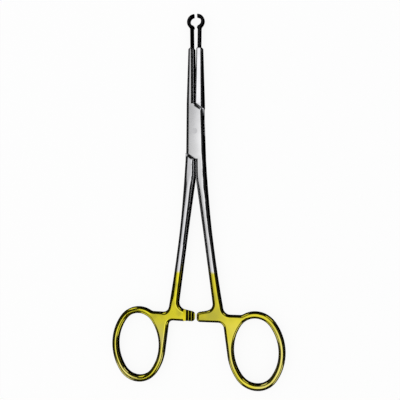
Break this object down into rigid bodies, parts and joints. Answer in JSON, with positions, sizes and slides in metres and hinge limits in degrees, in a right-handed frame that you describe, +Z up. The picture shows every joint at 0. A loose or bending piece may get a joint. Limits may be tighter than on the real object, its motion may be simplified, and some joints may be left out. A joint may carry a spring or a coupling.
{
  "type": "vasectomy fixation clamp",
  "caption": "Ringed surgical clamp: slim box-lock jaws that end in a small open ring, long shanks, ratchet arms and oval finger rings with gold-plated handles.",
  "frame": {"origin": "where the pivot's axis meets the flat underside of the box lock", "axes": "+Y along the clamp towards the jaws, +X across it towards the female half's shank, +Z up, out of the upper plate of the lock"},
  "size_m": [0.0658, 0.1387, 0.0046],
  "materials": {
    "female_steel": "satin polished, gold plated from halfway down the shank to the finger ring",
    "male_steel": "satin polished, gold plated from halfway down the shank to the finger ring",
    "pin_steel": "ground flush with the lock's plates"
  },
  "bodies": {
    "female": {"female_half": "female_steel", "pivot_pin": "pin_steel"},
    "male": {"male_half": "male_steel"}
  },
  "joints": [
    {"name": "pivot", "type": "hinge", "parent": "female", "child": "male", "pos_m": [0, 0, 0.0023], "axis": [0, 0, -1], "range_deg": [-1.4, 55]}
  ]
}
